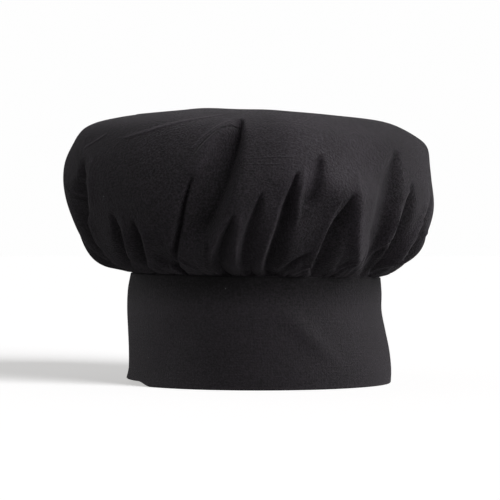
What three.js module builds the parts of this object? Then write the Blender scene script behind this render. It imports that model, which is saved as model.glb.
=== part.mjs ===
// A chef's hat in black cotton: a puffed crown of one layer of cloth, gathered and sewn to a folded band
// that stands on its own hem. Millimetres, +Z up, with the front towards -Y. The origin is under the middle
// of the crown, on the surface that the hem stands on.
import * as THREE from "three";

// Driving sizes
const HEAD_ROUND = 587; // round the outside of the headband, which fits a head of 23 inches
const BAND_WALL = 2.4; // the strip is folded in two and pressed
const CROWN_WALL = 1.2; // one layer of cloth
const SEAM_GAP = 0.3; // clear space between the crown's edge and the headband
const CROWN_CLOTH = 246; // along the cloth from the seam to the middle of the top
const TURN_COLUMNS = 144; // facets round the crown
const FRONT_CROWDING = 0.33; // above 0, the facets are narrower at the front, where the folds are crisp
const BAND_COLUMNS = 72; // facets round the headband
const CROWN_RINGS = 16; // rings of facets from the seam to the middle of the top
const RING_CROWDING = 1.4; // above 1, the rings are closer together near the seam

// The headband's outer face from the hem up. left and right are how far it reaches to each side of the
// origin, and its depth follows from the head size, because the strip keeps its length all the way up.
const BAND_SECTIONS = [
  { name: "hem", up_left: 0, up_right: 0, left: 87.4, right: 101.2 },
  { name: "above the hem", up_left: 8, up_right: 8, left: 86.0, right: 101.5 },
  { name: "lower flare", up_left: 22, up_right: 22, left: 85.8, right: 100.2 },
  { name: "middle", up_left: 38, up_right: 37, left: 86.4, right: 97.2 },
  { name: "waist", up_left: 53, up_right: 51, left: 87.0, right: 94.6 },
  { name: "under the seam", up_left: 67, up_right: 64, left: 86.4, right: 94.6 },
  { name: "seam", up_left: 77, up_right: 74, left: 84.4, right: 93.8 },
];

// The crown's outer face above its gathered edge, without its folds.
const CROWN_SECTIONS = [
  { name: "roll over seam", up_left: 78.6, up_right: 75.6, left: 89, right: 97.4, front: 101, back: 101 },
  { name: "underside", up_left: 84, up_right: 81, left: 103.4, right: 107, front: 112, back: 112 },
  { name: "lower bulge", up_left: 96.5, up_right: 93.5, left: 116.4, right: 119.6, front: 122.5, back: 121 },
  { name: "side", up_left: 113, up_right: 109, left: 125.2, right: 128, front: 128, back: 126.5 },
  { name: "widest", up_left: 140, up_right: 127, left: 132.4, right: 132.4, front: 131, back: 129 },
  { name: "upper side", up_left: 162, up_right: 151, left: 130, right: 130, front: 127, back: 126 },
  { name: "shoulder", up_left: 179.6, up_right: 170, left: 121, right: 124.6, front: 117, back: 117 },
  { name: "over shoulder", up_left: 186.8, up_right: 181.6, left: 103, right: 107, front: 101, back: 102 },
  { name: "outer top", up_left: 191.2, up_right: 187.6, left: 74, right: 76, front: 72, back: 73 },
  { name: "inner top", up_left: 193.8, up_right: 191.6, left: 38, right: 38, front: 37, back: 37 },
  { name: "middle of the top", up_left: 193.8, up_right: 193.8, left: 0, right: 0, front: 0, back: 0 },
];

// Valleys in the crown. low, mid and high are turns in degrees from the front, towards +X, at a valley's
// foot, half way along it and at its tip. foot and tip are millimetres of cloth above the seam, deep is how
// far it is pressed in, and left and right are the widths of its two walls as seen from outside.
const FOLDS = [
  { name: "left lobe", low: -67, mid: -66, high: -61, foot: 0, tip: 108, deep: 8, left: 11, right: 4.5 },
  { name: "left dimple", low: -74, mid: -68, high: -66, foot: 40, tip: 92, deep: 3, left: 7, right: 7 },
  { name: "left gather", low: -57, mid: -47.5, high: -44.5, foot: 0, tip: 68, deep: 6.5, left: 9, right: 4 },
  { name: "second gather", low: -48, mid: -41, high: -37, foot: 0, tip: 60, deep: 5.5, left: 8, right: 4 },
  { name: "low dimple", low: -38, mid: -32, high: -29.5, foot: 0, tip: 38, deep: 4, left: 6, right: 5 },
  { name: "long crease", low: -31, mid: -22.5, high: -16.5, foot: 0, tip: 90, deep: 8, left: 4.5, right: 5 },
  { name: "upper crease", low: -17, mid: -15, high: -2, foot: 74, tip: 144, deep: 2.5, left: 6, right: 5 },
  { name: "great hollow", low: -20, mid: -9.5, high: -4.5, foot: 26, tip: 134, deep: 8, left: 12, right: 7 },
  { name: "arched hollow", low: -10.5, mid: -8.5, high: -6, foot: 0, tip: 58, deep: 4.5, left: 6, right: 6 },
  { name: "centre gather", low: -3.5, mid: -1.5, high: 5, foot: 0, tip: 76, deep: 5.5, left: 4.5, right: 8 },
  { name: "centre crease", low: 4.8, mid: 8.2, high: 14.3, foot: 0, tip: 94, deep: 8, left: 6.5, right: 5 },
  { name: "short hollow", low: 17, mid: 18.5, high: 22, foot: 52, tip: 106, deep: 5, left: 9, right: 5 },
  { name: "slant fold", low: 10.5, mid: 15, high: 20, foot: 0, tip: 36, deep: 3.5, left: 5, right: 5 },
  { name: "slant crease", low: 22.5, mid: 26.5, high: 33, foot: 0, tip: 76, deep: 8, left: 5, right: 13 },
  { name: "side hollow", low: 45, mid: 44.5, high: 51.5, foot: 0, tip: 116, deep: 7.5, left: 12, right: 6 },
  { name: "right gather", low: 56, mid: 54.5, high: 58.5, foot: 0, tip: 88, deep: 7.5, left: 5, right: 9 },
  { name: "right lobe", low: 78, mid: 71, high: 76, foot: 0, tip: 80, deep: 6.5, left: 6, right: 8 },
  { name: "far right gather", low: 93, mid: 92, high: 91, foot: 0, tip: 60, deep: 5, left: 6, right: 7 },
  { name: "rear hollow", low: 108, mid: 107, high: 103, foot: 0, tip: 104, deep: 7.5, left: 7, right: 12 },
  { name: "back gather", low: 123, mid: 122, high: 119, foot: 0, tip: 58, deep: 6, left: 7, right: 7 },
  { name: "back slant", low: 138, mid: 134, high: 131, foot: 0, tip: 88, deep: 7.5, left: 7, right: 9 },
  { name: "back hollow", low: 151, mid: 147, high: 146, foot: 34, tip: 124, deep: 6.5, left: 13, right: 9 },
  { name: "middle gather", low: 160, mid: 160, high: 161, foot: 0, tip: 62, deep: 6, left: 8, right: 7 },
  { name: "back crease", low: 176, mid: 177, high: 181, foot: 0, tip: 84, deep: 7.5, left: 9, right: 7 },
  { name: "back pleat", low: 193, mid: 194, high: 195, foot: 0, tip: 56, deep: 6, left: 7, right: 7 },
  { name: "deep hollow", low: 207, mid: 211, high: 214, foot: 0, tip: 110, deep: 7.5, left: 13, right: 7 },
  { name: "far left pleat", low: 224, mid: 226, high: 228, foot: 0, tip: 60, deep: 6, left: 7, right: 7 },
  { name: "far left crease", low: 239, mid: 243, high: 245, foot: 0, tip: 92, deep: 7.5, left: 9, right: 7 },
  { name: "left pleat", low: 256, mid: 257, high: 259, foot: 0, tip: 62, deep: 5, left: 7, right: 6 },
  { name: "left side fold", low: 271, mid: 272, high: 274, foot: 0, tip: 92, deep: 6, left: 9, right: 8 },
];
const FOLD_START = 10; // millimetres of cloth in which a valley that starts at the seam reaches its depth
const GATHERS = 48; // small pleats where the crown's edge is drawn in
const GATHER_DEPTH = 0.9;
const GATHER_REACH = 13; // millimetres of cloth over which the small pleats fade away

// Soft dents in the headband. turn is in degrees and up in millimetres at the middle of the dent, wide and
// tall are its half sizes along the cloth, and lean is how far its axis leans right for each millimetre up.
const BAND_DENTS = [
  { name: "right dent", turn: 38, up: 44, wide: 12, tall: 32, lean: -0.7, depth: 2 },
  { name: "front swell", turn: 22, up: 30, wide: 13, tall: 26, lean: -0.7, depth: -1.2 },
  { name: "left dent", turn: -30, up: 38, wide: 22, tall: 40, lean: 0.2, depth: 1 },
  { name: "back dent", turn: 165, up: 34, wide: 20, tall: 30, lean: 0.3, depth: 1.6 },
  { name: "left back dent", turn: -125, up: 42, wide: 24, tall: 30, lean: -0.3, depth: 1.6 },
];

// Where the hem of the headband curls up off the surface, at the side where the strip is slack.
const HEM_CURL = { turn: -98, spread: 42, rise: 2.4, reach: 12 };

const cloth = (name, color) =>
  new THREE.MeshStandardMaterial({ name, color, roughness: 0.92, metalness: 0, side: THREE.DoubleSide });
const CROWN_CLOTH_LOOK = cloth("black poplin", 0x2a292c);
const BAND_CLOTH_LOOK = cloth("black poplin, doubled", 0x272629);

const radians = THREE.MathUtils.degToRad;
const smooth = (value, from, to) => THREE.MathUtils.smoothstep(value, from, to);

// The shorter way round from one turn to another, in degrees.
const turnBetween = (from, to) => THREE.MathUtils.euclideanModulo(to - from + 180, 360) - 180;

// A point of an oval section: the section's four reaches give its middle and its two half widths, and its
// height slopes evenly from its left side to its right.
function ovalPoint(section, turn) {
  const across = Math.sin(radians(turn));
  const away = -Math.cos(radians(turn));
  return new THREE.Vector3(
    (section.right - section.left) / 2 + ((section.right + section.left) / 2) * across,
    (section.back - section.front) / 2 + ((section.back + section.front) / 2) * away,
    (section.up_right + section.up_left) / 2 + ((section.up_right - section.up_left) / 2) * across,
  );
}

// A headband section with its depth, which the head size sets: in an oval, the mean square of the two half
// widths stays that of the round headband.
function withDepth(section) {
  const roundReach = HEAD_ROUND / (2 * Math.PI);
  const halfWidth = (section.left + section.right) / 2;
  const depth = Math.sqrt(2 * roundReach ** 2 - halfWidth ** 2);
  return { ...section, front: depth, back: depth };
}

// A section moved in by an inset all round, and up by a rise.
const moved = (section, inset, rise) => ({
  up_left: section.up_left + rise,
  up_right: section.up_right + rise,
  left: section.left - inset,
  right: section.right - inset,
  front: section.front - inset,
  back: section.back - inset,
});

const bandSections = BAND_SECTIONS.map(withDepth);
const seamSection = bandSections.at(-1);
const crownSections = [moved(seamSection, (BAND_WALL - CROWN_WALL) / 2, SEAM_GAP), ...CROWN_SECTIONS];

// The crown's smooth outline at one turn, as a curve from the seam to the middle of the top.
const outlines = new Map();
function crownOutline(turn) {
  const key = THREE.MathUtils.euclideanModulo(turn, 360).toFixed(4);
  if (!outlines.has(key))
    outlines.set(key, new THREE.CatmullRomCurve3(crownSections.map((section) => ovalPoint(section, turn))));
  return outlines.get(key);
}

// The turn of a valley's line at a share of its length: the parabola through its foot, middle and tip.
const lineTurn = ({ low, mid, high }, share) =>
  low * (1 - share) * (1 - 2 * share) + mid * 4 * share * (1 - share) + high * share * (2 * share - 1);

// How far the cloth is drawn in at a turn and a height along the cloth, in millimetres: the sum of the
// valleys, each a dip with low lips across its line that fades towards its ends, and of the small pleats.
function drawnIn(turn, up, reach) {
  const millimetresPerDegree = radians(1) * reach;
  let depth = 0;
  for (const fold of FOLDS) {
    const share = (up - fold.foot) / (fold.tip - fold.foot);
    if (share <= 0 || share >= 1) continue;
    const offLine = turnBetween(lineTurn(fold, share), turn) * millimetresPerDegree;
    const off = offLine / (offLine < 0 ? fold.left : fold.right);
    const start = fold.foot > 0 ? smooth(share, 0, 0.45) : 0.25 + 0.75 * smooth(up, 0, FOLD_START);
    const across = (1 - 0.5 * off ** 2) * Math.exp(-(off ** 2) / 1.6);
    depth += fold.deep * start * (1 - smooth(share, 0.4, 1)) * across;
  }
  const pleat = Math.cos(radians(turn) * GATHERS) * smooth(up, 0, 3) * Math.exp(-((up / GATHER_REACH) ** 2));
  return depth + GATHER_DEPTH * pleat;
}

// A unit vector square to a surface given as a function of turn and share, pointing out of the hat.
const NUDGE = { turn: 0.4, share: 0.002 };
function outwards(surface, turn, share) {
  const low = Math.max(share - NUDGE.share, 0);
  const high = Math.min(share + NUDGE.share, 1 - NUDGE.share);
  const round = surface(turn + NUDGE.turn, share).sub(surface(turn - NUDGE.turn, share));
  const upward = surface(turn, high).sub(surface(turn, low));
  return round.cross(upward).normalize();
}

// The share of the cloth's length, from the seam, at which a ring of facets lies.
const clothShare = (ring) => (ring / CROWN_RINGS) ** RING_CROWDING;

const smoothCrown = (turn, share) => crownOutline(turn).getPointAt(share);

// The crown's outer face: its smooth outline, drawn in along its own normal by the folds.
function foldedCrown(turn, share) {
  const point = smoothCrown(turn, share);
  const depth = drawnIn(turn, share * CROWN_CLOTH, Math.hypot(point.x, point.y));
  return depth === 0 ? point : point.addScaledVector(outwards(smoothCrown, turn, share), -depth);
}

// A closed wall from a function of column and row: the columns run once round the hat, and each cell is cut
// along its shorter diagonal. With poles, the first and the last row are one point each; without them, the
// last row joins the first.
function closedWall(pointAt, columns, rows, poles) {
  const positions = [];
  const start = [];
  for (let row = 0; row < rows; row += 1) {
    start.push(positions.length / 3);
    const count = poles && (row === 0 || row === rows - 1) ? 1 : columns;
    for (let column = 0; column < count; column += 1) positions.push(...pointAt(column, row));
  }
  const index = [];
  const vertex = (n) => new THREE.Vector3().fromArray(positions, 3 * n);
  const face = (a, b, c) => {
    if (a !== b && b !== c && c !== a) index.push(a, b, c);
  };
  const at = (column, row) => start[row] + (poles && (row === 0 || row === rows - 1) ? 0 : column % columns);
  for (let row = 0; row < (poles ? rows - 1 : rows); row += 1) {
    const next = (row + 1) % rows;
    for (let column = 0; column < columns; column += 1) {
      const a = at(column, row);
      const b = at(column + 1, row);
      const c = at(column + 1, next);
      const d = at(column, next);
      const cutFromFirst = vertex(a).distanceTo(vertex(c)) < vertex(b).distanceTo(vertex(d));
      face(a, b, cutFromFirst ? c : d);
      face(cutFromFirst ? a : b, c, d);
    }
  }
  const geometry = new THREE.BufferGeometry();
  geometry.setAttribute("position", new THREE.Float32BufferAttribute(positions, 3));
  geometry.setIndex(index);
  geometry.computeVertexNormals();
  return geometry;
}

// The crown's wall: down the outer face from the middle of the top to the gathered edge, and up the inner
// face again, one wall thickness inside.
function crownWall() {
  const middle = crownSections.at(-1).up_left;
  const lastRing = CROWN_RINGS * 2 + 1;
  const pointAt = (column, ring) => {
    if (ring === 0) return [0, 0, middle];
    if (ring === lastRing) return [0, 0, middle - CROWN_WALL];
    const round = column / TURN_COLUMNS;
    const turn = -360 * round + FRONT_CROWDING * THREE.MathUtils.radToDeg(Math.sin(2 * Math.PI * round));
    if (ring <= CROWN_RINGS) return foldedCrown(turn, clothShare(CROWN_RINGS - ring)).toArray();
    if (ring === CROWN_RINGS + 1) return ovalPoint(moved(crownSections[0], CROWN_WALL, 0), turn).toArray();
    const share = clothShare(ring - CROWN_RINGS - 1);
    const inwards = outwards(foldedCrown, turn, share).multiplyScalar(-CROWN_WALL);
    return foldedCrown(turn, share).add(inwards).toArray();
  };
  return closedWall(pointAt, TURN_COLUMNS, lastRing + 1, true);
}

// How far the hem is curled up at a turn, fading with height above the hem.
function hemCurl(turn, up) {
  const off = Math.min(Math.abs(turnBetween(HEM_CURL.turn, turn)) / HEM_CURL.spread, 1);
  return HEM_CURL.rise * Math.cos((Math.PI / 2) * off) ** 2 * Math.max(0, 1 - up / HEM_CURL.reach);
}

// How far the headband is pressed in at a turn and height: the sum of its dents, each a bell round its axis,
// held out by the hem and the seam.
function bandPressedIn(turn, up) {
  const held = Math.sin(Math.PI * THREE.MathUtils.clamp(up / seamSection.up_right, 0, 1));
  let depth = 0;
  for (const dent of BAND_DENTS) {
    const along = (turnBetween(dent.turn, turn) / 360) * HEAD_ROUND - dent.lean * (up - dent.up);
    depth += dent.depth * Math.exp(-((along / dent.wide) ** 2) - ((up - dent.up) / dent.tall) ** 2);
  }
  return depth * held;
}

// The headband's wall as a loop of sections: from the foot of the hem up the outer face, over the top and
// down the inner face, with the fold at the hem eased at both edges.
const HEM_EASE = 0.5;
const bandLoop = [
  moved(bandSections[0], HEM_EASE, 0),
  moved(bandSections[0], 0, HEM_EASE),
  ...bandSections.slice(1).map((section) => moved(section, 0, 0)),
  ...bandSections.slice(1).reverse().map((section) => moved(section, BAND_WALL, 0)),
  moved(bandSections[0], BAND_WALL, HEM_EASE),
  moved(bandSections[0], BAND_WALL - HEM_EASE, 0),
];
function bandWall() {
  const pointAt = (column, row) => {
    const turn = (360 * column) / BAND_COLUMNS;
    const up = ovalPoint(bandLoop[row], turn).z;
    const point = ovalPoint(moved(bandLoop[row], bandPressedIn(turn, up), 0), turn);
    return [point.x, point.y, point.z + hemCurl(turn, up)];
  };
  return closedWall(pointAt, BAND_COLUMNS, bandLoop.length, false);
}

function piece(name, geometry, material) {
  const mesh = new THREE.Mesh(geometry, material);
  mesh.name = name;
  return mesh;
}

const hat = new THREE.Group();
hat.add(piece("crown", crownWall(), CROWN_CLOTH_LOOK));
hat.add(piece("headband", bandWall(), BAND_CLOTH_LOOK));

export default hat;
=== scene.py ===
import bpy
import numpy as np
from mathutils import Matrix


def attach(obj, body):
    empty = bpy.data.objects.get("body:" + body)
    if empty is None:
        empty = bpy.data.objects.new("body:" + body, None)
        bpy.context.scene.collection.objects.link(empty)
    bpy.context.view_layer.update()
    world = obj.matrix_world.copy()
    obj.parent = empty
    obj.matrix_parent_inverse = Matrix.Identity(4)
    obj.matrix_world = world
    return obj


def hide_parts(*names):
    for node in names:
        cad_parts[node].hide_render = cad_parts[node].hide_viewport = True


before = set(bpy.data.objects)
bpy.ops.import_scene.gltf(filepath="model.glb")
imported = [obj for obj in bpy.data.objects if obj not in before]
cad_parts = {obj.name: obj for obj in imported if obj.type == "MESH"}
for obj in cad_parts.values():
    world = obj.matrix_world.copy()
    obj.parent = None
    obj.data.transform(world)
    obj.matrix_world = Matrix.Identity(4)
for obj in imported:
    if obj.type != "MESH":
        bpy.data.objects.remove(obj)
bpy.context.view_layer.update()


def table(columns, *rows):
    """A short table: one record per row, with the named columns as its fields."""
    return np.array(list(rows), dtype=[(name, float) for name in columns.split()])


# Sizes in millimetres, and turns in degrees from the front towards +X. The axes are the frame's own.
MM = 0.001
HEAD_ROUND = 587  # once round the headband's outer face
SEAM_GAP = 0.3  # from the top of the headband up to the crown's seam line
CROWN_CLOTH = 246  # from the seam over the shoulder to the middle of the top
CROWN_INSET = 0.85  # from the headband's outer face in to the crown's edge, between the band's two layers
TUCK = 2.6  # how far the crown's edge goes down between the band's two layers
CLOTH = 0.45  # one layer of poplin

BAND_SECTIONS = table(
    "up_left up_right left right",
    (0, 0, 87.4, 101.2),  # hem
    (8, 8, 86.0, 101.5),  # above the hem
    (22, 22, 85.8, 100.2),  # lower flare
    (38, 37, 86.4, 97.2),  # middle
    (53, 51, 87.0, 94.6),  # waist
    (67, 64, 86.4, 94.6),  # under the seam
    (78, 74.8, 84.4, 93.8),  # seam
)
CROWN_SECTIONS = table(
    "up_left up_right left right front back",
    (79, 76.7, 90.6, 100, 98.5, 101),  # roll over the seam
    (84, 81, 103.4, 107, 107.5, 112),  # underside
    (96.5, 93.5, 116.4, 119.6, 120, 121),  # lower bulge
    (113, 109, 125.2, 128, 128, 126.5),  # side
    (140, 127, 132.4, 132.4, 131, 129),  # widest
    (162, 151, 130, 130, 127, 126),  # upper side
    (179.6, 170, 121, 124.6, 117, 117),  # shoulder
    (186.8, 181.6, 103, 107, 101, 102),  # over the shoulder
    (191.2, 187.6, 74, 76, 72, 73),  # outer top
    (193.8, 191.6, 38, 38, 37, 37),  # inner top
    (193.8, 193.8, 0, 0, 0, 0),  # middle of the top
)
# Valleys and ridges in the crown: turns at the foot, half way and at the tip, the foot and tip in
# millimetres of cloth above the seam, how far the cloth is pressed in or stands out, and the widths of the
# two flanks as seen from outside. A high edge number makes steep flanks and a flat floor, a low one a sharp
# crest, and narrow is the share of its width that a fold loses towards its tip.
VALLEYS = table(
    "low mid high foot tip deep left right edge narrow",
    (-76, -69, -61.8, 0, 88, 15, 24, 8, 2, 0.3),  # left lobe, lower
    (-62, -59.2, -60, 56, 102, 6.5, 7.5, 3.6, 2, 0.5),  # left lobe, upper
    (-63, -49.5, -46.5, 0, 62, 9, 6.5, 4, 2, 0.5),  # left gather
    (-51, -41, -38.6, 0, 56, 8.5, 5.5, 3.6, 2, 0.5),  # second gather
    (-38, -33.5, -31.8, 0, 36, 2, 5, 5, 2, 0.5),  # below the long crease
    (-31, -24.8, -16.6, 0, 85, 8, 2.3, 2.1, 2.6, 0.35),  # long crease
    (-22, -7.8, -3.4, 24, 131, 15, 22, 7, 2, 0.67),  # great hollow
    (-12.5, -10.6, -5, 0, 57, 8, 3, 7, 2, 0.4),  # arched hollow
    (-2.6, -2.2, 3.5, 0, 72, 7, 3, 9, 2, 0.5),  # centre gather
    (5, 8.2, 13.4, 0, 86, 11, 3.2, 7, 2, 0.5),  # centre crease
    (16.6, 19, 20.6, 60, 98, 4.8, 7.4, 3.6, 2, 0.2),  # short hollow
    (8, 13.2, 19.8, 0, 30, 4, 3, 3.6, 2, 0.5),  # slant fold
    (24.2, 24.4, 30, 0, 72, 9, 2.6, 9.6, 2, 0.5),  # slant crease
    (54, 46.4, 52, 0, 106, 9, 14, 7, 2.8, 0.1),  # side hollow
    (60.5, 54.8, 56.4, 0, 84, 13.5, 3.6, 9, 2, 0.4),  # right gather
    (78, 71.4, 79.5, 0, 82, 12, 7, 9, 2, 0.5),  # right lobe
    (93, 92, 91, 0, 60, 8, 6, 7, 2, 0.5),  # far right gather
    (108, 107, 103, 0, 104, 12, 5, 12, 2, 0.5),  # rear hollow
    (123, 122, 119, 0, 58, 8, 6, 6, 2, 0.5),  # back gather
    (138, 134, 131, 0, 88, 11, 5, 9, 2, 0.5),  # back slant
    (151, 147, 146, 34, 124, 10, 13, 7, 2, 0.5),  # back hollow
    (160, 160, 161, 0, 62, 8, 7, 6, 2, 0.5),  # middle gather
    (176, 177, 181, 0, 84, 11, 9, 5, 2, 0.5),  # back crease
    (193, 194, 195, 0, 56, 8, 6, 6, 2, 0.5),  # back pleat
    (207, 211, 214, 0, 110, 12, 13, 5, 2, 0.5),  # deep hollow
    (224, 226, 228, 0, 60, 8, 6, 6, 2, 0.5),  # far left pleat
    (239, 243, 245, 0, 92, 11, 9, 5, 2, 0.5),  # far left crease
    (256, 257, 259, 0, 62, 7, 6, 6, 2, 0.5),  # left pleat
    (271, 272, 274, 0, 92, 9, 9, 6, 2, 0.5),  # left side fold
)
RIDGES = table(
    "low mid high foot tip tall left right edge narrow",
    (-60, -61, -56, 4, 80, 2.4, 3, 4, 1.4, 0.5),  # left lobe, lower
    (-57, -54.4, -55.4, 62, 108, 1.4, 3, 4, 1.4, 0.5),  # left lobe, upper
    (-58, -45.4, -43.2, 2, 68, 2.4, 3, 4, 1.4, 0.5),  # left gather
    (-48, -37.4, -36.4, 2, 60, 2.4, 3, 4, 1.4, 0.5),  # second gather
    (-16, -12, -5, 78, 138, 2.4, 5, 5, 1.8, 0.4),  # beside the upper crease
    (-4.6, -4.8, -0.5, 4, 72, 2, 3.4, 2.4, 1.5, 0.5),  # centre gather
    (3.2, 6.2, 11, 4, 78, 2.2, 4, 2, 1.4, 0.5),  # left of the centre crease
    (13.2, 14.6, 16, 44, 96, 1.8, 2, 2, 1.7, 0.3),  # beside the short hollow
    (22.4, 22.4, 28.4, 2, 77, 3, 4, 2.2, 1.4, 0.5),  # slant crease
    (12, 12.5, 13, 60, 158, 4.8, 15, 32, 1.9, 0),  # cheek beside the short hollow
    (46, 33.4, 33.6, 3, 94, 4.4, 4.6, 8, 1.8, 0.1),  # upright ridge
    (47.5, 44, 40.5, 0, 46, 4, 5, 7, 1.8, 0),  # foot of the upright ridge
    (48.6, 49.8, 51, 2, 80, 3.4, 2.4, 2.4, 1.4, 0.5),  # side hollow
    (67, 62.8, 71, 2, 80, 4, 3, 4, 1.4, 0.5),  # right lobe
    (76, 78.5, 74, 1, 68, 3.6, 2.6, 3, 1.4, 0.5),  # outer right line
    (101, 101, 98, 0, 90, 2.5, 4, 4, 1.5, 0.5),  # rear hollow
    (142, 139, 135, 0, 90, 2.5, 4, 4, 1.5, 0.5),  # back slant
    (181, 182, 186, 0, 86, 2.5, 4, 4, 1.5, 0.5),  # back crease
    (212, 216, 219, 0, 100, 2.5, 4, 4, 1.5, 0.5),  # deep hollow
    (244, 248, 250, 0, 88, 2.5, 4, 4, 1.5, 0.5),  # far left crease
)
# Short or slanting creases: from one point of the cloth to another, each a turn and millimetres above the
# seam, bowed to the side by a number of millimetres, standing out by a height, with a groove of its own
# depth along one side, and paler along the crest, partly rubbed and partly a painted highlight. A row of no
# height changes no shape: along it lies only a painted highlight or, below nothing, painted shade.
CREASES = table(
    "from_turn from_up to_turn to_up bow tall wide under pale",
    (-60.5, 60, -79, 96, 0, 2, 1.5, 3, 1.2),  # across the left lobe
    (-68, 66, -67, 26, 0, 0, 8, 0, -1.4),  # painted shade inside the left lobe
    (25, 72, 37, 118, 0, 0, 14, 0, 0.55),  # painted highlight on the cheek
    (15.5, 76, 15, 50, 0, 0, 5, 0, -0.8),  # painted shade below the short hollow
    (66, 52, 58, 18, 0, 0, 7, 0, 0.9),  # painted highlight on the gathers at the right
    (-14.5, 14, -6.5, 54, -4, 1.6, 1.6, 0, 0.9),  # arch, left side
    (-9, 50.5, -2, 51, -3.4, 0.7, 1.7, 0, 0.8),  # arch, top
    (-27, 27, -21, 9, 0, 0.9, 1, 0.9, 0.3),  # pucker beside the long crease
    (50, 69, 58, 85, 0, 2, 1.8, 0, 0.6),  # head of the right gather
    (23.5, 20, 13.5, 2, 0, 1.8, 1.3, 1.4, 0.5),  # low fold beside the slant crease
    (41, 28, 31, -4, 2.5, 2.2, 1.4, 2.8, 0.6),  # low pleats at the right
    (36, 20, 28, -3, 0, 1.5, 1.1, 1.6, 0.5),
    (51.5, 46, 43.5, -4, 0, 2.4, 1.5, 3, 0.6),
    (60, 26, 54, -4, 0, 2, 1.3, 2.4, 0.6),
    (66, 42, 57, -4, -3, 2, 1.5, 2.4, 0.6),
    (70, 36, 67, -4, 0, 2, 1.4, 2, 0.5),
    (101, 92, 109, 168, 4, 1.6, 3.2, 1.2, 0.5),  # over the shoulder, right
    (131, 86, 118, 190, -6, 1.3, 3, 1, 0.5),
    (150, 120, 158, 205, 5, 1.6, 3.4, 1.4, 0.5),  # over the shoulder, back
    (184, 84, 176, 176, -5, 1.4, 3, 1.2, 0.5),
    (216, 104, 232, 196, 6, 1.6, 3.4, 1.4, 0.5),
    (247, 88, 240, 172, -4, 1.3, 3, 1, 0.5),
    (268, 100, 262, 186, 4, 1.2, 3, 1, 0.5),  # over the shoulder, left
)
# Fine lines pressed into the cloth: from one point to another, each a turn and millimetres above the seam,
# bowed to the side by millimetres and as wide. Pale ones stand out in the relief and carry a painted
# highlight, and dark ones, below nothing, lie in and carry painted shade.
PRESSED = table(
    "from_turn from_up to_turn to_up bow wide pale",
    (-62, 108, -50, 119, -2, 1, 0.9),
    (-44, 113, -8, 149, -13.5, 1.7, 1),
    (-16.5, 99, -3, 127, 1.8, 0.8, -1.1),
    (-17.5, 101, -4.5, 131, 1.8, 0.9, 0.6),
    (-4.2, 129, 8, 186, -0.7, 1, 1),
    (-1.5, 95.5, 13.5, 95.5, 0, 0.5, 0.5),
    (-4, 91.5, 10, 91, 0, 0.4, 0.4),
    (60, 190, 150, 178, 6, 1, 0.8),
    (200, 150, 300, 210, -8, 1, 0.9),
    (120, 140, 175, 205, 4, 1, 0.8),
    (330, 215, 230, 225, 3, 1, 0.7),
)
# Broad flats where the cloth sinks or, below nothing, swells out: turn and height of the middle, half widths
# round the crown and up it, and depth.
FLATS = table(
    "turn up wide tall deep",
    (-84, 118, 34, 13, 2.2),  # left shoulder
    (-90, 149, 45, 14, 1.8),  # over the left shoulder
    (-92, 28, 46, 20, -4.2),  # left underside
    (84, 82, 30, 13, 1.8),  # right side
    (90, 112, 32, 9, -1.8),  # right corner
    (88, 168, 50, 28, 0.8),  # over the right shoulder
    (20, 46, 20, 16, 1.5),  # panel beside the centre crease
    (-32.5, 22, 7, 10, 4.4),  # low dimple
    (-31, 15, 2.6, 4, 4.4),  # bottom of the dimple
    (30, 73, 20, 14, -4.5),  # cheek above the slant crease
    (-70, 42, 15, 22, 8),  # under the left lobe
)
# How a fold changes along its length, in shares of it.
FADE = 0.25  # a ridge, a crease or a valley above the seam comes out of the cloth over this much
NARROWS_FROM = 0.35
POINTED_FROM = 0.75
POINTED = 0.6  # how much narrower a fold gets over its last, pointed part
VALLEY_CLOSES_FROM = 0.5
RIDGE_ENDS_FROM = 0.6
# Other traits of the folds, in millimetres unless they say otherwise.
SEAM_DEPTH = 0.25  # the share of its depth that a valley has at the seam itself
FULL_DEPTH = 10  # and the height at which it has all of it
FREE_FOOT = 8  # a valley with its foot above this doesn't come from the seam
CREASE_EDGE = 1.6  # how sharp a crease's crest is, like the edge of a fold
GROOVE_OFF = 1.7  # how many widths a crease's groove lies off its line
FULLY_PALE = 4  # a ridge this tall is as pale as it gets, partly rubbed and partly a painted highlight
VALLEY_TO_RIDGE = 6  # a valley this many times as deep gets painted shade as dark as the ridge is pale
LEAN_REACH = 20  # degrees to each side of a valley over which the cloth leans with it
UPRIGHT = 0.1  # how strongly the cloth stands upright, beside 1 for a valley right at hand
# Soft dents and, below nothing, bulges of the headband: turn and height of the middle, half widths along the
# band and up it, how far the dent leans over, and its depth.
BAND_DENTS = table(
    "turn up wide tall lean deep",
    (22, 37, 10, 19, -0.75, -1.8),
    (-38, 30, 14, 26, 0.8, 0.9),
    (-20, 44, 16, 34, -0.5, -0.6),
    (165, 34, 20, 30, 0.3, 1.6),
    (-125, 42, 24, 30, -0.3, 1.6),
)
# Round one turn the hem curls up off the surface: over how many degrees to each side, how far it rises, and
# how far up the band that reaches.
HEM_CURL = {"turn": -79, "spread": 26, "rise": 3.1, "reach": 14}


def smooth(value, start, end):
    """0 before start, 1 after end, and between them 3 s^2 - 2 s^3 of the share s of the way."""
    share = np.clip((value - start) / (end - start), 0, 1)
    return share * share * (3 - 2 * share)


def turn_between(start, end):
    """The shorter way round from one turn to another, in degrees."""
    return (end - start + 180) % 360 - 180


def heading(turn):
    """A step of 1 outwards at a turn: its part towards +X and its part towards +Y."""
    return np.sin(np.radians(turn)), -np.cos(np.radians(turn))


def oval(sections, turn):
    """Points of oval sections. A section reaches left, right, front and back by its own amounts, which give
    its middle and its half widths, and its height slopes evenly from its left side to its right."""

    def between(low, high, way):
        """From low, where way is -1, to high, where it is 1."""
        return (high + low) / 2 + (high - low) / 2 * way

    across, away = heading(turn)
    x = between(-sections["left"], sections["right"], across)
    y = between(-sections["front"], sections["back"], away)
    z = between(sections["up_left"], sections["up_right"], across)
    return np.stack([x, y, z], axis=-1)


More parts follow.
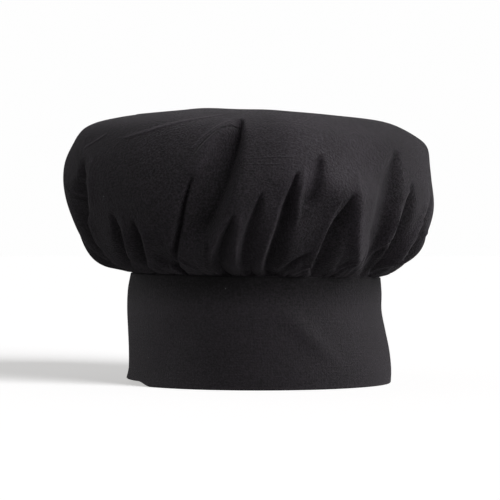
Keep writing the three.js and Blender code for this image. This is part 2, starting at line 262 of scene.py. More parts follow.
def band_sections(inset):
    """The headband's sections, drawn in by an inset. Their depth keeps the strip's length: the mean square
    of the two half widths stays that of the round headband."""
    reach = HEAD_ROUND / (2 * np.pi)
    half = (BAND_SECTIONS["left"] + BAND_SECTIONS["right"]) / 2
    depth = np.sqrt(2 * reach**2 - half**2) - inset
    rows = zip(BAND_SECTIONS["up_left"], BAND_SECTIONS["up_right"], BAND_SECTIONS["left"] - inset,
               BAND_SECTIONS["right"] - inset, depth, depth)
    return table("up_left up_right left right front back", *rows)


def curve_through(points, after, steps=24):
    """A smooth curve through rows of points, for all columns at once: the cubic between two points that
    leaves each one along the line between its neighbours, weighed by the square roots of their distances.
    The last row's far neighbour is after."""
    before = 2 * points[:1] - points[1:2]
    chain = np.concatenate([before, points, after[None]])
    gap = np.linalg.norm(np.diff(chain, axis=0), axis=-1, keepdims=True) ** 0.5
    step = np.diff(chain, axis=0) / gap
    wide = (chain[2:] - chain[:-2]) / (gap[1:] + gap[:-1])
    slope = step[:-1] - wide + step[1:]
    share = np.linspace(0, 1, steps, endpoint=False)[:, None, None]
    pieces = []
    for k in range(len(points) - 1):
        start, end = points[k], points[k + 1]
        leave, arrive = slope[k] * gap[k + 1], slope[k + 1] * gap[k + 1]
        cubic = 2 * (start - end) + leave + arrive
        bend = cubic * share + 3 * (end - start) - 2 * leave - arrive
        pieces.append((bend * share + leave) * share + start)
    return np.concatenate([*pieces, points[-1:]])


def spaced(curve, shares):
    """Points at shares of each column's length along a curve, found by one interpolation in which each
    column has its own stretch of a common line."""
    run = np.linalg.norm(np.diff(curve, axis=0), axis=-1)
    length = np.concatenate([np.zeros((1, curve.shape[1])), np.cumsum(run, axis=0)])
    share = length / length[-1]
    shift = 2.0 * np.arange(curve.shape[1])
    line = (share + shift).T.ravel()
    wanted = (np.asarray(shares)[:, None] + shift).T
    found = [np.interp(wanted, line, curve[..., axis].T.ravel()).T for axis in range(3)]
    return np.stack(found, axis=-1)


def normals_of(points):
    """Unit normals of a grid of points whose columns run once round the hat from the front towards +X and
    whose rows run up the outside: the cross product of the steps to the neighbours on each side."""
    round_step = np.roll(points, -1, axis=1) - np.roll(points, 1, axis=1)
    up_step = np.gradient(points, axis=0)
    normal = np.cross(round_step, up_step)
    return normal / np.linalg.norm(normal, axis=-1, keepdims=True)


def fold_turn(fold, share):
    """The turn of a fold's line at a share of its length: the parabola through its foot, middle and tip."""
    low = fold["low"] * (1 - share) * (1 - 2 * share)
    return low + fold["mid"] * 4 * share * (1 - share) + fold["high"] * share * (2 * share - 1)


def fold_off(fold, turn, up, reach):
    """Where a point lies along a fold, as a share of its length, and how far off its line, in widths of the
    flank on that side. The flanks narrow towards the tip and then run to a point."""
    share = (up - fold["foot"]) / (fold["tip"] - fold["foot"])
    off = turn_between(fold_turn(fold, np.clip(share, 0, 1)), turn) * np.radians(reach)
    narrowed = 1 - fold["narrow"] * smooth(share, NARROWS_FROM, 1)
    flank = np.where(off < 0, fold["left"], fold["right"]) * narrowed
    return share, np.abs(off) / (flank * (1 - POINTED * smooth(share, POINTED_FROM, 1)))


def valley_relief(fold, turn, up, reach):
    """A valley's share of its depth: a bell across its line. At the seam it already has a part of its depth,
    and with a foot of its own it begins from nothing. It closes at its tip like a quarter circle."""
    share, off = fold_off(fold, turn, up, reach)
    if fold["foot"] > FREE_FOOT:
        start = smooth(share, 0, FADE)
    else:
        start = SEAM_DEPTH + (1 - SEAM_DEPTH) * smooth(up, 0, FULL_DEPTH)
    closing = np.clip((share - VALLEY_CLOSES_FROM) / (1 - VALLEY_CLOSES_FROM), 0, 1)
    along = np.where(share > 0, start * np.sqrt(1 - closing**2), 0)
    return along * np.exp(-(off ** fold["edge"]))


def ridge_relief(fold, turn, up, reach):
    """A ridge's share of its height: a sharp crest along its line that runs out softly at both ends."""
    share, off = fold_off(fold, turn, up, reach)
    along = smooth(share, 0, FADE) * (1 - smooth(share, RIDGE_ENDS_FROM, 1))
    return along * np.exp(-(off ** fold["edge"]))


def flat_relief(flat, turn, up, reach):
    """A flat's share of its depth: a bell round its middle, squarer round the crown than up it."""
    across = turn_between(flat["turn"], turn) * np.radians(reach) / flat["wide"]
    return np.exp(-(across**4) - ((up - flat["up"]) / flat["tall"]) ** 2)


def crease_relief(crease, turn, up, reach):
    """A crease's two shares: of its height, a bell round a bowed line between two points, and of its groove,
    the same bell some widths to the side. Both taper to the ends."""
    run = turn_between(crease["from_turn"], turn) * np.radians(reach)
    rise = up - crease["from_up"]
    to_run = turn_between(crease["from_turn"], crease["to_turn"]) * np.radians(reach)
    to_rise = crease["to_up"] - crease["from_up"]
    length = np.hypot(to_run, to_rise)
    share = np.clip((run * to_run + rise * to_rise) / length**2, 0, 1)
    off = (run * to_rise - rise * to_run) / length - crease["bow"] * 4 * share * (1 - share)
    off = off / crease["wide"]
    taper = smooth(share, 0, FADE) * (1 - smooth(share, 1 - FADE, 1))
    crest, groove = (taper * np.exp(-(np.abs(side) ** CREASE_EDGE)) for side in (off, off + GROOVE_OFF))
    return crest, groove


def drawn_in(turn, up, reach):
    """How far the folds draw the cloth in, in millimetres: the valleys and flats less the ridges and the
    creases. Then how pale the cloth is, from 1 down to -1: paler on the ridges, partly rubbed and partly a
    painted highlight, painted shade inside the valleys and sunken flats, and painted highlights and
    painted shade along the creases as each one says."""
    depth = sum(fold["deep"] * valley_relief(fold, turn, up, reach) for fold in VALLEYS)
    depth += sum(flat["deep"] * flat_relief(flat, turn, up, reach) for flat in FLATS)
    raised = sum(fold["tall"] * ridge_relief(fold, turn, up, reach) for fold in RIDGES)
    # painted shade where the cloth sinks in, and paler where it stands out: partly rubbing, partly painted
    # highlight
    pale = (raised - depth / VALLEY_TO_RIDGE) / FULLY_PALE
    for crease in CREASES:
        crest, groove = crease_relief(crease, turn, up, reach)
        depth += crease["under"] * groove
        raised += crease["tall"] * crest
        pale += crease["pale"] * crest
    return depth - raised, np.clip(pale, -1, 1)


def lean(turn, up):
    """How far the cloth's columns lean over at a height above the seam, in degrees: the mean of the leans of
    the valleys nearby, weighed by how close they are at the seam."""
    shift, weight = np.zeros_like(turn * up), np.full_like(turn * up, UPRIGHT)
    for fold in VALLEYS[VALLEYS["foot"] == 0]:
        share = np.clip(up / fold["tip"], 0, 1)
        near = np.exp(-((turn_between(fold["low"], turn) / LEAN_REACH) ** 2))
        shift += near * (fold_turn(fold, share) - fold["low"])
        weight += near
    return shift / weight


# The crown
CROWN_COLUMNS = 360
CROWN_ROWS = 134
OUTLINE_COLUMNS = 1440  # of the smooth outline, from which the leaning columns take their points
FRONT_CROWDING = 0.55  # how much closer than evenly the columns stand in front
SEAM_CROWDING = 1.45  # the power of their share that places the rows, over 1 to crowd them at the seam
SEAM_ROOM = 0.3  # the room that a fold has at the seam itself
FOLD_ROOM = 2.2  # and this many times the cloth's overhang more above it
LEVEL_FOLDS = 6, 42  # between these heights the folds turn from pressing in level to pressing in square
# The fine gathers: each one's traits lie between two bounds, its shift as a share of the way to the next.
PLEATS = 104
PLEAT_SEED = 11
PLEAT_SHIFT = -0.35, 0.35
PLEAT_DEEP = 0.8, 3.4
PLEAT_WIDE = 0.9, 1.8
PLEAT_TALL = 13, 34
PLEAT_TILT = -0.25, 0.35
PLEAT_START = 3  # above the seam, where they have all of their depth
# The slow waves, with their heights as shares of their lengths.
WAVES = 9
WAVE_SEED = 5
WAVE_LONG = 34, 95
WAVE_STEEP = 0.006, 0.013
WAVES_START = 20, 70  # between these heights above the seam they begin
FRONT_WAVES = 0.25  # the share of their height that they have in front
WAVES_BEHIND = -20, 90  # and from here to here, towards the back of the flat round, they gain the rest


def small_pleats(turn, up, reach):
    """The fine gathers at the seam: shallow valleys at uneven places, each with its own depth, width, length
    and tilt. Each is a bell across its line, times a bell of its height above the seam."""
    pick = np.random.default_rng(PLEAT_SEED)
    place = (np.arange(PLEATS) + pick.uniform(*PLEAT_SHIFT, PLEATS)) * 360 / PLEATS
    deep, wide, tall, tilt = (pick.uniform(*bounds, PLEATS)
                              for bounds in (PLEAT_DEEP, PLEAT_WIDE, PLEAT_TALL, PLEAT_TILT))
    depth = np.zeros_like(turn)
    for n in range(PLEATS):
        off = turn_between(place[n], turn) * np.radians(reach) - tilt[n] * up
        fade = smooth(up, 0, PLEAT_START) * np.exp(-((up / tall[n]) ** 2))
        depth += deep[n] * fade * np.exp(-((off / wide[n]) ** 2))
    return depth


def soft_waves(turn, up):
    """The cloth's slow unevenness: a sum of plane waves over its flat round, each with its own direction,
    length, height and shift, which fades in above the seam and is weaker in front."""
    pick = np.random.default_rng(WAVE_SEED)
    way = pick.uniform(0, 2 * np.pi, WAVES)
    long = pick.uniform(*WAVE_LONG, WAVES)
    tall = long * pick.uniform(*WAVE_STEEP, WAVES)
    shift = pick.uniform(0, 2 * np.pi, WAVES)
    across, away = ((CROWN_CLOTH - up) * part for part in heading(turn))
    waves = 0
    for n in range(WAVES):
        run = across * np.cos(way[n]) - away * np.sin(way[n])
        waves += tall[n] * np.sin(2 * np.pi * run / long[n] + shift[n])
    behind = FRONT_WAVES + (1 - FRONT_WAVES) * smooth(away, *WAVES_BEHIND)
    return waves * smooth(up, *WAVES_START) * behind


def crown_outline(shares):
    """The crown's smooth outline without its folds: a curve through its sections, from the headband's seam
    over the shoulder to the middle of the top and on to the far side, at shares of its length."""
    seam = band_sections(CROWN_INSET)[-1:]
    seam["up_left"] += SEAM_GAP
    seam["up_right"] += SEAM_GAP
    sections = np.concatenate([seam, CROWN_SECTIONS])
    turn = np.arange(OUTLINE_COLUMNS) * 360 / OUTLINE_COLUMNS
    return spaced(curve_through(oval(sections[:, None], turn), oval(sections[-2], turn + 180)), shares)


def crown_points():
    """The crown's outer face: its smooth outline, drawn in by the folds along its own normal, or level with
    the ground close to the seam, where a fold has only as much room as the cloth hangs over. The edge is
    tucked straight down between the headband's two layers. The columns stand closer together in front and
    the rows near the seam, and the columns lean with the valleys."""
    shares = (np.arange(CROWN_ROWS) / CROWN_ROWS) ** SEAM_CROWDING
    up = shares[:, None] * CROWN_CLOTH
    outline = crown_outline(shares)

    round_share = np.arange(CROWN_COLUMNS) / CROWN_COLUMNS
    column_turn = 360 * round_share - FRONT_CROWDING * np.degrees(np.sin(2 * np.pi * round_share))
    turn = column_turn + lean(column_turn, up)
    place = turn % 360 * OUTLINE_COLUMNS / 360
    left = place.astype(int)
    rows = np.arange(CROWN_ROWS)[:, None]
    part = (place - left)[..., None]
    left, right = left % OUTLINE_COLUMNS, (left + 1) % OUTLINE_COLUMNS
    points = outline[rows, left] * (1 - part) + outline[rows, right] * part

    reach = np.hypot(points[..., 0], points[..., 1])
    up = np.broadcast_to(up, turn.shape)
    depth, pale = drawn_in(turn, up, reach)
    depth += small_pleats(turn, up, reach) + soft_waves(turn, up)
    room = SEAM_ROOM + FOLD_ROOM * np.maximum(reach - reach[:1], 0)
    depth = np.where(depth > 0, room * (1 - np.exp(-depth / room)), depth)
    inward = -normals_of(points)
    inward[..., 2] *= smooth(up, *LEVEL_FOLDS)
    inward /= np.linalg.norm(inward, axis=-1, keepdims=True)
    points = points + inward * depth[..., None]

    tucked = np.array([TUCK, TUCK / 2])
    edge = points[:1] - np.array([0, 0, 1.0]) * tucked[:, None, None]
    from_middle = np.concatenate([CROWN_CLOTH + tucked, CROWN_CLOTH - up[:, 0]])
    turn = np.concatenate([turn[:1], turn[:1], turn])
    flat = from_middle[:, None, None] * np.stack(heading(turn), axis=-1)
    # the tucked edge gets neither paleness nor painted shade
    wear_and_painted_light = np.concatenate([np.zeros_like(pale[:2]), pale])
    middle = np.array([0, 0, CROWN_SECTIONS["up_left"][-1]])
    return np.concatenate([edge, points]), flat, wear_and_painted_light, middle


def cloth_piece(name, points, flat, wear_and_painted_light, middle=None):
    """A mesh of four-sided cells on a grid of points, joined up round the hat, with its flat pattern in
    metres as its UV map and, as an attribute, how much paler or darker it is painted: some wear, painted
    highlights and painted shade. middle closes the last row with a fan. Where a cell of the headband lies
    across the strip's two ends, the corners beyond the end are moved back by the strip's length."""
    rows, columns = points.shape[:2]
    index = np.arange(rows * columns).reshape(rows, columns)
    beside = np.roll(index, -1, axis=1)
    cells = np.stack([index[:-1], beside[:-1], beside[1:], index[1:]], axis=-1).reshape(-1, 4)
    places = points.reshape(-1, 3)
    pattern = flat.reshape(-1, 2)
    faces = cells.tolist()
    if middle is not None:
        fan = np.stack([index[-1], beside[-1], np.full(columns, rows * columns)], axis=-1)
        faces += fan.tolist()
        places = np.vstack([places, middle])
        pattern = np.vstack([pattern, [0, 0]])
    mesh = bpy.data.meshes.new(name)
    mesh.from_pydata((places * MM).tolist(), [], faces)
    corner = np.empty(len(mesh.loops), dtype=np.int32)
    start, count = np.empty((2, len(faces)), dtype=np.int32)
    mesh.loops.foreach_get("vertex_index", corner)
    mesh.polygons.foreach_get("loop_start", start)
    mesh.polygons.foreach_get("loop_total", count)
    pattern = pattern[corner]
    past_end = (pattern[:, 0] - np.repeat(pattern[start, 0], count)) / HEAD_ROUND
    pattern[:, 0] -= np.round(past_end) * HEAD_ROUND
    uv = mesh.uv_layers.new(name="flat_pattern")
    uv.data.foreach_set("uv", (pattern * MM).astype(np.float32).ravel())
    pale_and_shade = np.zeros(len(places), dtype=np.float32)
    pale_and_shade[: rows * columns] = wear_and_painted_light.ravel()
    mesh.attributes.new("wear_and_painted_light", "FLOAT", "POINT").data.foreach_set("value", pale_and_shade)
    mesh.polygons.foreach_set("use_smooth", np.ones(len(faces), dtype=bool))
    mesh.update()
    piece = bpy.data.objects.new(name, mesh)
    bpy.context.scene.collection.objects.link(piece)
    thick = piece.modifiers.new("cloth", "SOLIDIFY")
    thick.thickness = CLOTH * MM
    thick.offset = -1
    return piece


# The headband
BAND_COLUMNS = 288
BAND_ROWS = 64  # of each of the two layers
HEM_ROWS = 7  # round the fold between them
BAND_HEIGHT = 76
INNER_LAYER = 2.0  # from the band's outer face in to the face that touches the head
CURL_FADE = 0.6, 1  # between these shares of its spread the hem's curl runs out
HEM_PALE = 0.8  # how much paler the fold at the hem is
HEM_PALE_RISE = 1.5  # at this height a little over a third of it is left
CROWN_SHADOW_PAINT = 1.3  # how dark the painted shadow of the crown is on the band
# where the crown's painted shadow on the band begins
CROWN_SHADOW_PAINT_FROM = 50


def band_layer(inset, low, turn):
    """One layer of the strip: a curve through the headband's sections, drawn in by an inset, in rows of even
    spacing. It is squeezed upwards, to start at a height above the hem and still end at the seam."""
    path = oval(band_sections(inset)[:, None], turn)
    path = spaced(curve_through(path, 2 * path[-1] - path[-2]), np.linspace(0, 1, BAND_ROWS))
    path[..., 2] = low + path[..., 2] * (1 - low / path[-1:, :, 2])
    return path


def band_points():
    """The headband's strip, folded in two: from its inner raw edge down inside the hat, round the half
    circle of the fold at the hem, and up the outside to its outer raw edge at the seam. Each dent presses it
    in by a leaning bell, times half a sine wave from hem to seam, and the hem curls up. The fold at the
    hem is paler, which dies away with height, and a painted shadow of the crown darkens the cloth towards
    the seam."""
    turn = np.arange(BAND_COLUMNS) * 360 / BAND_COLUMNS
    half = INNER_LAYER / 2
    inner, outer = band_layer(INNER_LAYER, half, turn), band_layer(0, half, turn)
    bend = np.linspace(0, np.pi, HEM_ROWS + 2)[1:-1][:, None]
    centre = (inner[0] + outer[0]) / 2
    across = outer[0] - centre
    fold = centre - across * np.cos(bend)[..., None]
    fold[..., 2] -= half * np.sin(bend)
    points = np.concatenate([inner[::-1], fold, outer])

    up = points[..., 2]
    round_run = turn_between(BAND_DENTS["turn"][:, None], turn) / 360 * HEAD_ROUND
    pressed = np.zeros_like(up)
    for dent, run in zip(BAND_DENTS, round_run):
        above = up - dent["up"]
        along = run - dent["lean"] * above
        pressed += dent["deep"] * np.exp(-((along / dent["wide"]) ** 2) - (above / dent["tall"]) ** 2)
    pressed *= np.sin(np.pi * np.clip(up / BAND_HEIGHT, 0, 1))
    outward = across / np.linalg.norm(across, axis=-1, keepdims=True)
    points = points - outward * pressed[..., None]
    off = np.abs(turn_between(HEM_CURL["turn"], turn)) / HEM_CURL["spread"]
    near_hem = np.clip(1 - up / HEM_CURL["reach"], 0, 1)
    points[..., 2] += HEM_CURL["rise"] * (1 - smooth(off, *CURL_FADE)) * near_hem

    run = np.linalg.norm(np.diff(points, axis=0), axis=-1).mean(axis=1)
    height = np.concatenate([[0], np.cumsum(run)])
    along = turn_between(0, turn) / 360 * HEAD_ROUND
    flat = np.stack(np.broadcast_arrays(along, height[:, None]), axis=-1)
    # paler at the hem's fold, and darker towards the seam with the crown's painted shadow
    wear_and_painted_light = HEM_PALE * np.exp(-up / HEM_PALE_RISE) - CROWN_SHADOW_PAINT * smooth(up, CROWN_SHADOW_PAINT_FROM, BAND_HEIGHT)
    return points, flat, wear_and_painted_light


crown = cloth_piece("crown_cloth", *crown_points())
headband = cloth_piece("headband_strip", *band_points())


# Finishes

# Noises, in repeats to the metre and with their detail. A streak's place is drawn out first, by repeats to
# the metre along the cloth and across it, and its noise follows that place.
YARN = 780.0, 1.5
CLOUD = 26.0, 3.0
WEFT_STREAK = 38.0, 900.0
WARP_STREAK = 900.0, 30.0
STREAK = 1.0, 1.0
WARP_SHARE = 0.8
THIN_YARN = 0.08  # yarn that is less thick than this is darker than the cloth
# How much each pattern adds to the colour, as a share of it, to the roughness and to the height.
# The folds' paleness and the pressed lines paint highlights and shade into the colour, with some wear on the
# ridges.
PALER = {"mottle": 3.7, "streaks": 0.9, "clouds": 0.8, "pale_and_shade": 0.55, "pressed": 0.6, "threads": 0.3}
ROUGHER = {"mottle": -0.25, "pale_and_shade": -0.12}
HIGHER = {"mottle": 0.9, "threads": 0.2}
GAP_COLOUR = 0.81  # between the threads, as a share of the cloth's
DARKEST = 0.2
LINT_SCALE = 72.0  # cells to the metre, each with room for one speck
LINT_SIZE = 0.026  # of a cell
LINT_RARE = 0.86  # the share of the cells that have none
LINT_COLOUR = 0.3, 0.3, 0.31, 1
LINE_FADE = 0.6  # a pressed line is whole where 4 t (1 - t) is above this


def node_group(name, inputs, outputs):
    """A new node group. inputs and outputs name its sockets and give each one's usual value, and with it its
    kind: one number is a value, three are a vector and four a colour."""
    tree = bpy.data.node_groups.new(name, "ShaderNodeTree")
    kinds = {1: "NodeSocketFloat", 3: "NodeSocketVector", 4: "NodeSocketColor"}
    for way, sockets in (("INPUT", inputs), ("OUTPUT", outputs)):
        for label, value in sockets.items():
            socket = tree.interface.new_socket(label, in_out=way, socket_type=kinds[np.size(value)])
            socket.default_value = value
    return tree, tree.nodes.new("NodeGroupInput").outputs, tree.nodes.new("NodeGroupOutput").inputs


def flat_pattern(tree):
    """Where a point lies on its piece's flat pattern."""
    node = tree.nodes.new("ShaderNodeUVMap")
    node.uv_map = "flat_pattern"
    return node.outputs[0]


def maths(tree, operation, *values):
    """A Math node's result. Each value is a number or another node's output."""
    node = tree.nodes.new("ShaderNodeMath")
    node.operation = operation
    for socket, value in zip(node.inputs, values):
        if isinstance(value, (int, float)):
            socket.default_value = value
        else:
            tree.links.new(value, socket)
    return node.outputs[0]


def parts_of(tree, vector):
    """A vector's X, Y and Z."""
    node = tree.nodes.new("ShaderNodeSeparateXYZ")
    tree.links.new(vector, node.inputs[0])
    return node.outputs


def uneven(tree, place, scale, detail):
    """Smooth noise about zero at a place, scale times to the metre."""
    node = tree.nodes.new("ShaderNodeTexNoise")
    node.inputs["Scale"].default_value = scale
    node.inputs["Detail"].default_value = detail
    tree.links.new(place, node.inputs["Vector"])
    return maths(tree, "SUBTRACT", node.outputs[0], 0.5)


def stretched(tree, place, along, across):
    """A flat place multiplied by one number along the cloth and another across it."""
    node = tree.nodes.new("ShaderNodeVectorMath")
    node.operation = "MULTIPLY"
    node.inputs[1].default_value = (along, across, 1)
    tree.links.new(place, node.inputs[0])
    return node.outputs[0]


def woven_threads(tree, pattern, pitch):
    """The height of threads of one pitch that cross over and under: with a = sin(pi u / pitch) and
    b = sin(pi v / pitch), it is |a| (1 + a b) / 2 + |b| (1 - a b) / 2."""
    parts = parts_of(tree, pattern)
    step = maths(tree, "DIVIDE", np.pi, pitch)
    warp = maths(tree, "SINE", maths(tree, "MULTIPLY", parts["X"], step))
    weft = maths(tree, "SINE", maths(tree, "MULTIPLY", parts["Y"], step))
    over = maths(tree, "MULTIPLY_ADD", maths(tree, "MULTIPLY", warp, weft), 0.5, 0.5)
    under = maths(tree, "SUBTRACT", 1.0, over)
    return maths(tree, "MULTIPLY_ADD", maths(tree, "ABSOLUTE", warp), over,
                 maths(tree, "MULTIPLY", maths(tree, "ABSOLUTE", weft), under))


def thick_yarn(tree, pattern):
    """Thin streaks both ways where a yarn is thick: the larger of two noises, each drawn out along the yarn
    of one way."""
    weft = uneven(tree, stretched(tree, pattern, *WEFT_STREAK), *STREAK)
    warp = uneven(tree, stretched(tree, pattern, *WARP_STREAK), *STREAK)
    thick = maths(tree, "MAXIMUM", weft, maths(tree, "MULTIPLY", warp, WARP_SHARE))
    return maths(tree, "SUBTRACT", thick, THIN_YARN)


def lint_specks(tree, place):
    """A mask of a few specks of lint: 1 close to the middle of a few of the cells of a scattered pattern."""
    fibres = tree.nodes.new("ShaderNodeTexVoronoi")
    fibres.inputs["Scale"].default_value = LINT_SCALE
    tree.links.new(place, fibres.inputs["Vector"])
    near = maths(tree, "LESS_THAN", fibres.outputs["Distance"], LINT_SIZE)
    pick = parts_of(tree, fibres.outputs["Color"])
    return maths(tree, "MULTIPLY", near, maths(tree, "GREATER_THAN", pick["X"], LINT_RARE))


def plain_weave():
    """The cloth's surface. Threads cross over and under, uneven yarn mottles them at about a millimetre,
    thick threads run through them as thin streaks both ways, and the dye is cloudy over some centimetres.
    Ridges, raised creases and pale pressed lines are paler, partly rubbed and partly a painted highlight;
    valleys, dark creases and pressed lines and the band under the crown carry painted shade; and a few
    specks of lint lie on top. The colour is multiplied by 1 and a sum of these patterns, each times its own
    number, and then by the threads', and it never falls below a part of itself. The roughness and the height
    are such sums too."""
    tree, given, result = node_group("plain weave", {
        "Colour": (0.02, 0.02, 0.02, 1), "Pitch": 0.0004, "Mottle": 1.0, "Streaks": 1.0, "Clouds": 1.0,
        "Paleness_and_shade": 1.0, "Pressed": 0.0, "Lint": 1.0, "Roughness": 0.7,
    }, {"Colour": (0, 0, 0, 1), "Roughness": 0.0, "Height": 0.0})
    pattern = flat_pattern(tree)
    solid = tree.nodes.new("ShaderNodeTexCoord").outputs["Object"]
    threads = woven_threads(tree, pattern, given["Pitch"])
    mottle = maths(tree, "MULTIPLY", uneven(tree, solid, *YARN), given["Mottle"])
    streaks = maths(tree, "MULTIPLY", thick_yarn(tree, pattern), given["Streaks"])
    clouds = maths(tree, "MULTIPLY", uneven(tree, solid, *CLOUD), given["Clouds"])
    wear_and_painted_light = tree.nodes.new("ShaderNodeAttribute")
    wear_and_painted_light.attribute_name = "wear_and_painted_light"
    # the folds' and the band's paleness and darkness: some wear, painted highlights and painted shade
    pale_and_shade = maths(tree, "MULTIPLY", wear_and_painted_light.outputs["Fac"], given["Paleness_and_shade"])

    share = maths(tree, "MULTIPLY_ADD", streaks, PALER["streaks"], 1.0)
    share = maths(tree, "MULTIPLY_ADD", mottle, PALER["mottle"], share)
    # painted highlights and shade of the pressed lines and the folds, plus the dye's clouds
    painted_light_wear_and_dye = maths(tree, "MULTIPLY", given["Pressed"], PALER["pressed"])
    painted_light_wear_and_dye = maths(tree, "MULTIPLY_ADD", pale_and_shade, PALER["pale_and_shade"], painted_light_wear_and_dye)
    painted_light_wear_and_dye = maths(tree, "MULTIPLY_ADD", clouds, PALER["clouds"], painted_light_wear_and_dye)
    woven = maths(tree, "MULTIPLY_ADD", threads, PALER["threads"], GAP_COLOUR)
    share = maths(tree, "MULTIPLY", maths(tree, "ADD", share, painted_light_wear_and_dye), woven)
    share = maths(tree, "MAXIMUM", share, DARKEST)
    shade = tree.nodes.new("ShaderNodeVectorMath")
    shade.operation = "SCALE"
    tree.links.new(given["Colour"], shade.inputs[0])
    tree.links.new(share, shade.inputs["Scale"])
    colour = tree.nodes.new("ShaderNodeMix")
    colour.data_type = "RGBA"
    tree.links.new(maths(tree, "MULTIPLY", lint_specks(tree, solid), given["Lint"]), colour.inputs["Factor"])
    tree.links.new(shade.outputs[0], colour.inputs["A"])
    colour.inputs["B"].default_value = LINT_COLOUR
    tree.links.new(colour.outputs["Result"], result["Colour"])

    rough = maths(tree, "MULTIPLY_ADD", pale_and_shade, ROUGHER["pale_and_shade"], given["Roughness"])
    rough = maths(tree, "MULTIPLY_ADD", mottle, ROUGHER["mottle"], rough)
    tree.links.new(rough, result["Roughness"])
    height = maths(tree, "MULTIPLY_ADD", threads, HIGHER["threads"], streaks)
    height = maths(tree, "MULTIPLY_ADD", mottle, HIGHER["mottle"], height)
    tree.links.new(maths(tree, "ADD", height, given["Pressed"]), result["Height"])
    return tree


def pressed_line():
    """A fine line pressed into the cloth, by its flat pattern. Along the straight line between its two ends
    a share t of its length runs from 0 to 1, and off is the distance to its side, less a bow of 4 t (1 - t).
    The mask is exp(-(off / width) ** 2), and fades out over the first and last fifth of the length."""
    tree, given, result = node_group("pressed line", {
        "From": (0, 0, 0), "To": (0, 0, 0), "Bow": 0.0, "Width": 0.0, "Pale": 0.0,
    }, {"Pressed": 0.0})

    def vectors(operation, one, other):
        node = tree.nodes.new("ShaderNodeVectorMath")
        node.operation = operation
        tree.links.new(one, node.inputs[0])
        tree.links.new(other, node.inputs[1])
        return node.outputs

    line = vectors("SUBTRACT", given["To"], given["From"])[0]
    place = vectors("SUBTRACT", flat_pattern(tree), given["From"])[0]
    squared = vectors("DOT_PRODUCT", line, line)["Value"]
    length = maths(tree, "SQRT", squared)
    share = maths(tree, "DIVIDE", vectors("DOT_PRODUCT", place, line)["Value"], squared)
    turned = parts_of(tree, vectors("CROSS_PRODUCT", line, place)[0])
    rest = maths(tree, "SUBTRACT", 1.0, share)
    bow = maths(tree, "MULTIPLY", maths(tree, "MULTIPLY", share, rest), 4.0)
    side = maths(tree, "DIVIDE", turned["Z"], length)
    off = maths(tree, "SUBTRACT", side, maths(tree, "MULTIPLY", bow, given["Bow"]))
    off = maths(tree, "DIVIDE", off, given["Width"])
    across = maths(tree, "MULTIPLY", maths(tree, "MULTIPLY", off, off), -1.0)
    across = maths(tree, "EXPONENT", across)
    ends = tree.nodes.new("ShaderNodeMapRange")
    ends.interpolation_type = "SMOOTHSTEP"
    ends.inputs["From Max"].default_value = LINE_FADE
    tree.links.new(bow, ends.inputs["Value"])
    mask = maths(tree, "MULTIPLY", across, ends.outputs[0])
    # a pale line paints a highlight, a dark one painted shade
    tree.links.new(maths(tree, "MULTIPLY", mask, given["Pale"]), result["Pressed"])
    return tree


weave = plain_weave()
line_mask = pressed_line()


def flat_place(turn, up):
    """Where a point of the crown lies in its flat round, in metres."""
    from_middle = (CROWN_CLOTH - up) * MM
    across, away = heading(turn)
    return from_middle * across, from_middle * away, 0


def press_lines(finish, lines):
    """Adds fine pressed lines to a finish: their masks, which paint highlights and shade, are summed and
    lead into the weave.
    """
    tree = finish.node_tree
    total = 0.0
    for line in lines:
        node = tree.nodes.new("ShaderNodeGroup")
        node.node_tree = line_mask
        node.inputs["From"].default_value = flat_place(line["from_turn"], line["from_up"])
        node.inputs["To"].default_value = flat_place(line["to_turn"], line["to_up"])
        node.inputs["Bow"].default_value = line["bow"] * MM
        node.inputs["Width"].default_value = line["wide"] * MM
        node.inputs["Pale"].default_value = line["pale"]
        total = maths(tree, "ADD", total, node.outputs["Pressed"])
    cloth = next(node for node in tree.nodes if node.type == "GROUP" and node.node_tree == weave)
    tree.links.new(total, cloth.inputs["Pressed"])


def black_poplin(name, colour, relief, **amounts):
    """Plain-woven black cotton: the weave's colour, roughness and relief on a soft matte shader with a
    little sheen. relief is the height of the weave in millimetres."""
    finish = bpy.data.materials.new(name)
    finish.use_nodes = True
    tree = finish.node_tree
    shader = tree.nodes["Principled BSDF"].inputs
    cloth = tree.nodes.new("ShaderNodeGroup")
    cloth.node_tree = weave
    cloth.inputs["Colour"].default_value = (*colour, 1)
    for part, amount in amounts.items():
        cloth.inputs[part].default_value = amount
    bump = tree.nodes.new("ShaderNodeBump")
    bump.inputs["Distance"].default_value = relief * MM
    tree.links.new(cloth.outputs["Colour"], shader["Base Color"])
    tree.links.new(cloth.outputs["Roughness"], shader["Roughness"])
    tree.links.new(cloth.outputs["Height"], bump.inputs["Height"])
    tree.links.new(bump.outputs[0], shader["Normal"])
    shader["Specular IOR Level"].default_value = 0.3
    shader["Sheen Weight"].default_value = 0.1
    shader["Sheen Roughness"].default_value = 0.4
    shader["Sheen Tint"].default_value = (0.98, 0.93, 1, 1)
    return finish


crown_finish = black_poplin("black poplin", (0.016, 0.0124, 0.0167), relief=0.8, Streaks=0.55)
press_lines(crown_finish, PRESSED)
crown.data.materials.append(crown_finish)
band_finish = black_poplin("black poplin, doubled", (0.015, 0.0117, 0.0156), relief=0.5, Mottle=0.55,
                           Streaks=0.6, Clouds=0.9)
headband.data.materials.append(band_finish)

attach(crown, "root")
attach(headband, "root")
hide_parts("crown")
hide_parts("headband")


# Studio
FLOOR_SIZE = 60  # metres
FLOOR_COLOUR = {"to the hat": (0.39, 0.39, 0.39, 1), "to the camera": (0.8, 0.8, 0.81, 1)}
FLOOR_GLOW = 0.53  # to the camera alone
WORLD_STRENGTH = {"to the hat": 0.1, "to the camera": 0.99}
CAMERA_PLACE = 0.0007, -1.5, 0.0944  # metres
CAMERA_LENS = 151.06  # millimetres, and so is the width of the film
CAMERA_FILM = 36


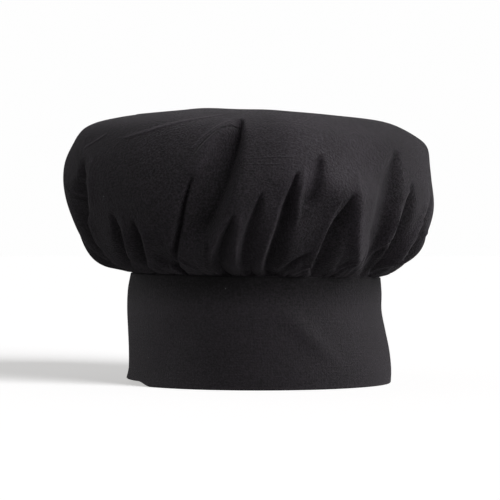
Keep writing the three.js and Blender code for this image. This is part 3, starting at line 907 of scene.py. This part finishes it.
def pale_floor():
    """A matte floor, paler to the camera than to the hat, and with a glow that only the camera sees, like a
    sheet lit evenly past the frame."""
    finish = bpy.data.materials.new("pale floor")
    finish.use_nodes = True
    nodes, links = finish.node_tree.nodes, finish.node_tree.links
    shader = nodes["Principled BSDF"]
    shader.inputs["Roughness"].default_value = 0.8
    tone = nodes.new("ShaderNodeMix")
    tone.data_type = "RGBA"
    tone.inputs["A"].default_value = FLOOR_COLOUR["to the hat"]
    tone.inputs["B"].default_value = FLOOR_COLOUR["to the camera"]
    glow = nodes.new("ShaderNodeEmission")
    glow.inputs["Color"].default_value = (0.98, 0.97, 0.96, 1)
    seen = nodes.new("ShaderNodeLightPath")
    both = nodes.new("ShaderNodeAddShader")
    level = nodes.new("ShaderNodeMath")
    level.operation = "MULTIPLY"
    level.inputs[1].default_value = FLOOR_GLOW
    links.new(seen.outputs["Is Camera Ray"], tone.inputs["Factor"])
    links.new(tone.outputs["Result"], shader.inputs["Base Color"])
    links.new(seen.outputs["Is Camera Ray"], level.inputs[0])
    links.new(level.outputs[0], glow.inputs["Strength"])
    links.new(shader.outputs[0], both.inputs[0])
    links.new(glow.outputs[0], both.inputs[1])
    links.new(both.outputs[0], nodes["Material Output"].inputs["Surface"])
    return finish


def soft_light(name, reaches, energy, width, rise, side):
    """A wide, far light: the objects that it reaches, its width in degrees, how far above the horizon it
    stands, and how far behind the right-hand side."""
    sun = bpy.data.lights.new(name, "SUN")
    sun.energy = energy
    sun.angle = np.radians(width)
    light = bpy.data.objects.new(name, sun)
    rise, side = np.radians(rise), np.radians(side)
    x, y, z = np.cos(rise) * np.cos(side), np.cos(rise) * np.sin(side), np.sin(rise)
    light.rotation_euler = (np.arccos(z), 0, np.arctan2(y, x) + np.pi / 2)
    bpy.context.scene.collection.objects.link(light)
    reached = bpy.data.collections.new(name + " reaches")
    for thing in reaches:
        reached.objects.link(thing)
    light.light_linking.receiver_collection = reached


def white_world():
    """An even white all round: nearly full to the camera, and a little of it to everything else."""
    world = bpy.data.worlds.new("studio")
    world.use_nodes = True
    nodes, links = world.node_tree.nodes, world.node_tree.links
    seen = nodes.new("ShaderNodeLightPath")
    level = nodes.new("ShaderNodeMapRange")
    level.inputs["To Min"].default_value = WORLD_STRENGTH["to the hat"]
    level.inputs["To Max"].default_value = WORLD_STRENGTH["to the camera"]
    links.new(seen.outputs["Is Camera Ray"], level.inputs["Value"])
    links.new(level.outputs[0], nodes["Background"].inputs["Strength"])
    nodes["Background"].inputs["Color"].default_value = (1, 1, 1, 1)
    return world


bpy.ops.mesh.primitive_plane_add(size=FLOOR_SIZE)
floor = bpy.context.object
floor.name = "studio_floor"
floor.data.materials.append(pale_floor())

hat = [crown, headband]
soft_light("key", hat, energy=1.02, width=26, rise=36, side=-46)
soft_light("right_side", hat, energy=2.3, width=66, rise=34, side=-4)
soft_light("top_and_back", hat, energy=0.13, width=50, rise=66, side=98)
soft_light("left_fill", [crown], energy=0.62, width=70, rise=61, side=188)
soft_light("low_left_fill", [headband], energy=1.15, width=66, rise=20, side=178)
soft_light("floor_light", [floor], energy=3.9, width=30, rise=26, side=-47)

bpy.context.scene.world = white_world()
bpy.context.scene.view_settings.view_transform = "Standard"

lens = bpy.data.cameras.new("camera")
lens.lens = CAMERA_LENS
lens.sensor_width = CAMERA_FILM
camera = bpy.data.objects.new("camera", lens)
camera.location = CAMERA_PLACE
camera.rotation_euler = (np.pi / 2, 0, 0)
bpy.context.scene.collection.objects.link(camera)
bpy.context.scene.camera = camera
